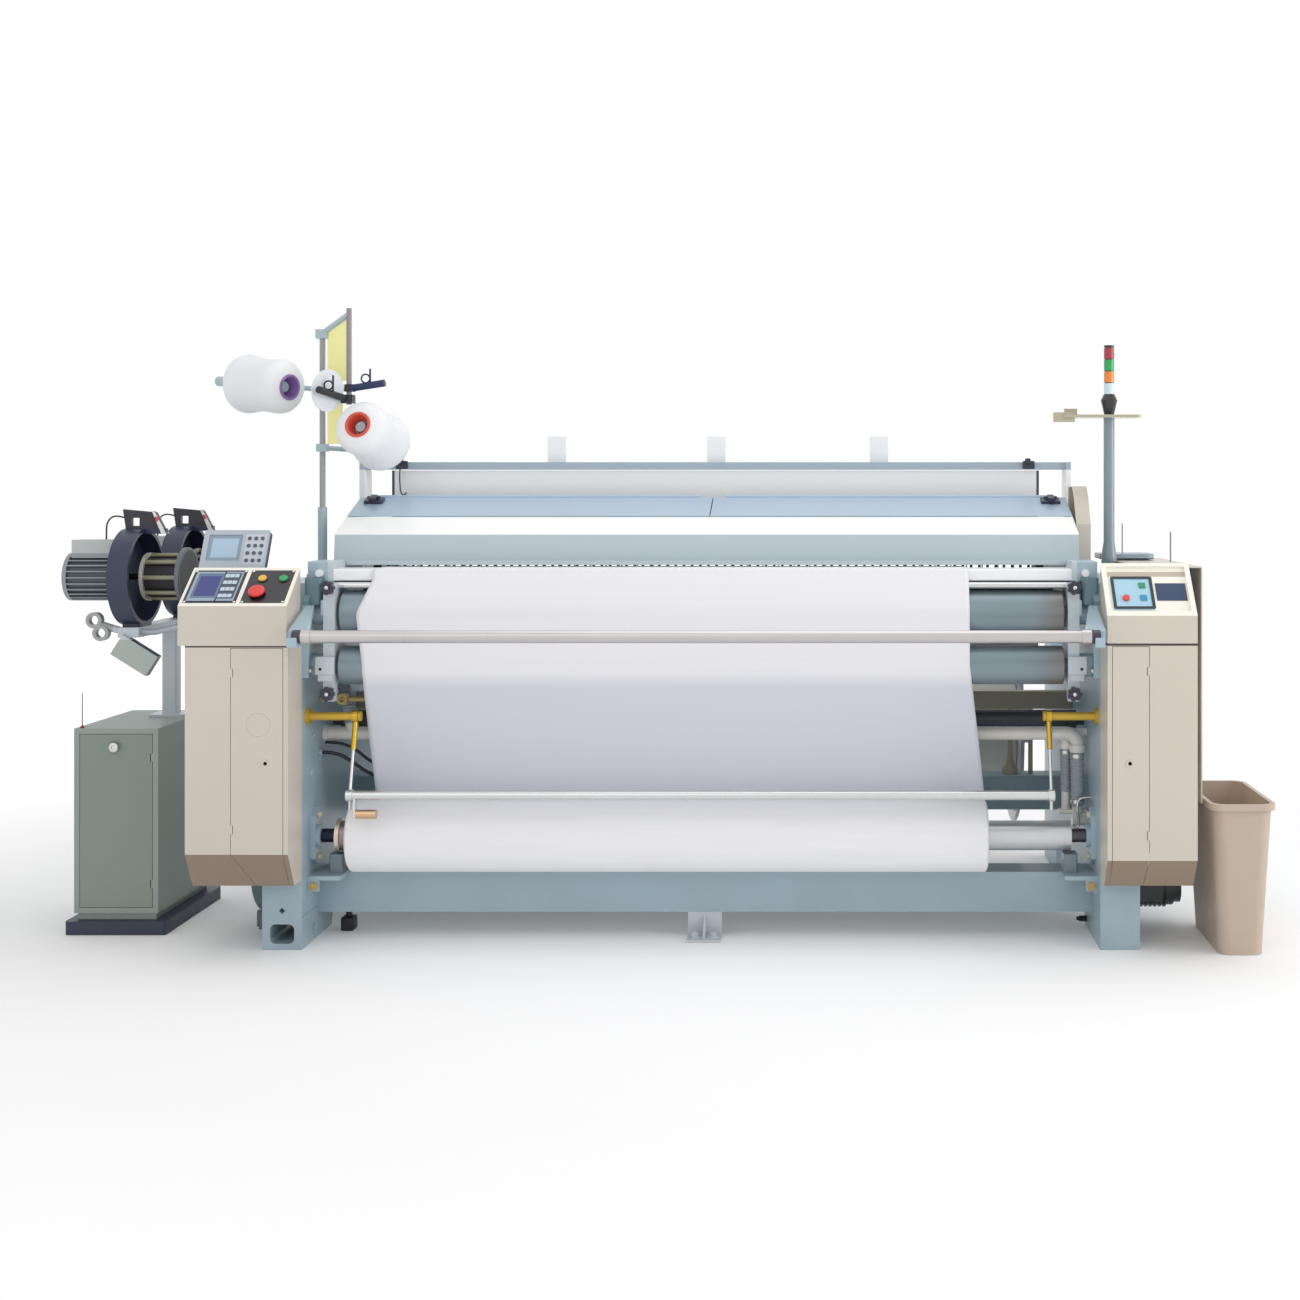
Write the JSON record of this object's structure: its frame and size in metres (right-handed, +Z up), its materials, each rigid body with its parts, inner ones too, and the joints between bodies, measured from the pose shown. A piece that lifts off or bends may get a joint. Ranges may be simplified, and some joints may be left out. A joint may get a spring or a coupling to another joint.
{
  "type": "power loom",
  "caption": "Wide power loom: ribbed side frames, take-up rollers and cloth roll, hood over reed and heddles, warp beam, feeders, cone stand and control desk.",
  "frame": {"origin": "on the floor, at the centre of the middle floor bracket's base under the front beam", "axes": "+X to the weaver's right along the cloth roll, +Y from the weaver to the warp beam, +Z up"},
  "size_m": [3.548, 1.6089, 1.878],
  "materials": {
    "frame_paint": "semi-gloss blue-grey machine enamel",
    "beige_paint": "satin beige powder coat",
    "desk_paint": "satin cream powder coat",
    "desk_face": "black printed face with display and keys",
    "panel_blue": "pale blue membrane face with a dark rim",
    "button_yellow": "gloss yellow",
    "button_green": "gloss green",
    "button_red": "gloss red",
    "rail_paint": "gloss pale enamel",
    "roller_steel": "ground steel, dull",
    "bright_steel": "polished",
    "white_paint": "gloss white enamel",
    "hood_paint": "satin pale blue-grey",
    "lid_paint": "satin light blue",
    "knob_plastic": "moulded dark navy",
    "yellow_paint": "yellow passivated",
    "cloth": "plain filament cloth, slight sheen",
    "core_metal": "bright tube",
    "warp_yarn": "wound filament warp",
    "hose_plastic": "flexible ribbed hose",
    "pipe_plastic": "white rigid pipe",
    "lead_rubber": "black rubber lead",
    "guard_paint": "dark green-grey enamel",
    "motor_paint": "dark painted casting",
    "box_paint": "grey-green textured enamel",
    "box_door_paint": "grey-green textured enamel",
    "post_paint": "pale grey enamel",
    "feeder_paint": "dark blue-grey casting and finned motor",
    "drum_dark": "dark anodised drum with bright rods",
    "display_shell": "silver shell, grey screen",
    "stand_paint": "pale blue-grey enamel",
    "yarn_white": "wound white yarn",
    "tensioner_black": "black moulding",
    "lamp_plastic": "coloured lenses on a pale pole",
    "bin_plastic": "moulded tan plastic",
    "reed_metal": "light alloy and steel"
  },
  "bodies": {
    "machine": {"left_side_frame": "frame_paint", "right_side_frame": "frame_paint", "cross_beams": "frame_paint", "centre_floor_bracket": "post_paint", "left_column_cover": "beige_paint", "control_desk": "desk_paint", "desk_plates": "desk_face", "right_column_cover": "beige_paint", "right_panel_housing": "desk_paint", "right_panel_face": "panel_blue", "right_rear_cover": "beige_paint", "handrail": "rail_paint", "roller_brackets": "frame_paint", "guide_bar": "bright_steel", "breast_plate": "white_paint", "stop_bar_pivots": "yellow_paint", "roll_supports": "frame_paint", "cloth_web": "cloth", "hood_front": "hood_paint", "hood_end_cover": "beige_paint", "top_beam": "white_paint", "suction_pipe": "pipe_plastic", "ribbed_hoses": "hose_plastic", "black_lead": "lead_rubber", "drive_guard": "guard_paint", "drive_motor": "motor_paint", "control_box": "box_paint", "feeder_post": "post_paint", "feeder_housings": "feeder_paint", "feeder_display": "display_shell", "cone_stand": "stand_paint", "yarn_cones": "yarn_white", "yarn_tensioners": "tensioner_black", "stack_light": "lamp_plastic", "waste_bin": "bin_plastic"},
    "take_up": {"take_up_roller": "roller_steel"},
    "press": {"press_roller": "roller_steel"},
    "cloth_beam": {"roll_core": "core_metal", "cloth_roll": "cloth"},
    "back_rest": {"back_rest_roller": "roller_steel"},
    "warp": {"warp_beam": "warp_yarn"},
    "bar": {"stop_bar": "bright_steel"},
    "knob_upper_left": {"upper_left_knob": "knob_plastic"},
    "knob_upper_right": {"upper_right_knob": "knob_plastic"},
    "knob_lower_left": {"lower_left_knob": "knob_plastic"},
    "knob_lower_right": {"lower_right_knob": "knob_plastic"},
    "button_yellow": {"yellow_button": "button_yellow"},
    "button_green": {"green_button": "button_green"},
    "button_red": {"red_button": "button_red"},
    "button_panel": {"right_panel_button": "button_red"},
    "door_left": {"left_column_door": "beige_paint"},
    "door_right": {"right_column_door": "beige_paint"},
    "door_box": {"control_box_door": "box_door_paint"},
    "lid_left": {"left_hood_lid": "lid_paint"},
    "lid_right": {"right_hood_lid": "lid_paint"},
    "heddle_front": {"heddle_frame_front": "reed_metal"},
    "heddle_rear": {"heddle_frame_rear": "reed_metal"},
    "sley": {"sley": "reed_metal"},
    "drum_front": {"feeder_drum_front": "drum_dark"},
    "drum_rear": {"feeder_drum_rear": "drum_dark"}
  },
  "joints": [
    {"name": "take_up_turn", "type": "hinge", "parent": "machine", "child": "take_up", "pos_m": [0, -0.04, 0.963], "axis": [1, 0, 0], "continuous": true},
    {"name": "press_turn", "type": "hinge", "parent": "machine", "child": "press", "pos_m": [0, -0.06, 0.812], "axis": [1, 0, 0], "continuous": true},
    {"name": "cloth_roll_turn", "type": "hinge", "parent": "machine", "child": "cloth_beam", "pos_m": [0, 0, 0.305], "axis": [1, 0, 0], "continuous": true},
    {"name": "back_rest_turn", "type": "hinge", "parent": "machine", "child": "back_rest", "pos_m": [0, 1.11, 0.985], "axis": [1, 0, 0], "continuous": true},
    {"name": "warp_beam_turn", "type": "hinge", "parent": "machine", "child": "warp", "pos_m": [0, 0.95, 0.52], "axis": [1, 0, 0], "continuous": true},
    {"name": "stop_bar_swing", "type": "hinge", "parent": "machine", "child": "bar", "pos_m": [0, -0.075, 0.665], "axis": [1, 0, 0], "range_deg": [-20, 0]},
    {"name": "knob_upper_left_turn", "type": "hinge", "parent": "machine", "child": "knob_upper_left", "pos_m": [-1.071, -0.12, 1.04], "axis": [0, 1, 0], "continuous": true},
    {"name": "knob_upper_right_turn", "type": "hinge", "parent": "machine", "child": "knob_upper_right", "pos_m": [1.071, -0.12, 1.04], "axis": [0, 1, 0], "continuous": true},
    {"name": "knob_lower_left_turn", "type": "hinge", "parent": "machine", "child": "knob_lower_left", "pos_m": [-1.071, -0.12, 0.735], "axis": [0, 1, 0], "continuous": true},
    {"name": "knob_lower_right_turn", "type": "hinge", "parent": "machine", "child": "knob_lower_right", "pos_m": [1.071, -0.12, 0.735], "axis": [0, 1, 0], "continuous": true},
    {"name": "yellow_button_press", "type": "slide", "parent": "machine", "child": "button_yellow", "axis": [0, 0.6135, -0.7897], "range_m": [0, 0.004], "stiffness_N_per_m": 400},
    {"name": "green_button_press", "type": "slide", "parent": "machine", "child": "button_green", "axis": [0, 0.6135, -0.7897], "range_m": [0, 0.004], "stiffness_N_per_m": 400},
    {"name": "red_button_press", "type": "slide", "parent": "machine", "child": "button_red", "axis": [0, 0.6135, -0.7897], "range_m": [0, 0.006], "stiffness_N_per_m": 400},
    {"name": "panel_button_press", "type": "slide", "parent": "machine", "child": "button_panel", "axis": [0, 0.7352, -0.6778], "range_m": [0, 0.004], "stiffness_N_per_m": 400},
    {"name": "left_door_swing", "type": "hinge", "parent": "machine", "child": "door_left", "pos_m": [-1.303, -0.248, 0.54], "axis": [0, 0, -1], "range_deg": [0, 110]},
    {"name": "right_door_swing", "type": "hinge", "parent": "machine", "child": "door_right", "pos_m": [1.26, -0.248, 0.54], "axis": [0, 0, 1], "range_deg": [0, 110]},
    {"name": "box_door_swing", "type": "hinge", "parent": "machine", "child": "door_box", "pos_m": [-1.65, 0.067, 0.33], "axis": [0, 0, 1], "range_deg": [0, 110]},
    {"name": "left_lid_swing", "type": "hinge", "parent": "machine", "child": "lid_left", "pos_m": [-0.55, 0.4, 1.298], "axis": [-1, 0, 0], "range_deg": [0, 50]},
    {"name": "right_lid_swing", "type": "hinge", "parent": "machine", "child": "lid_right", "pos_m": [0.55, 0.4, 1.298], "axis": [-1, 0, 0], "range_deg": [0, 100]},
    {"name": "heddle_front_lift", "type": "slide", "parent": "machine", "child": "heddle_front", "axis": [0, 0, 1], "range_m": [-0.07, 0]},
    {"name": "heddle_rear_lift", "type": "slide", "parent": "machine", "child": "heddle_rear", "axis": [0, 0, 1], "range_m": [0, 0.07]},
    {"name": "sley_swing", "type": "hinge", "parent": "machine", "child": "sley", "pos_m": [0, 0.215, 0.62], "axis": [1, 0, 0], "range_deg": [-10, 6]},
    {"name": "front_drum_turn", "type": "hinge", "parent": "machine", "child": "drum_front", "pos_m": [-1.72, 0.13, 1.059], "axis": [1, 0, 0], "continuous": true},
    {"name": "rear_drum_turn", "type": "hinge", "parent": "machine", "child": "drum_rear", "pos_m": [-1.72, 0.53, 1.059], "axis": [1, 0, 0], "continuous": true}
  ],
  "couplings": [
    {"joint": "press_turn", "follows": "take_up_turn", "ratio": 1.1607},
    {"joint": "cloth_roll_turn", "follows": "take_up_turn", "ratio": -0.61905},
    {"joint": "heddle_rear_lift", "follows": "heddle_front_lift", "ratio": -1}
  ]
}
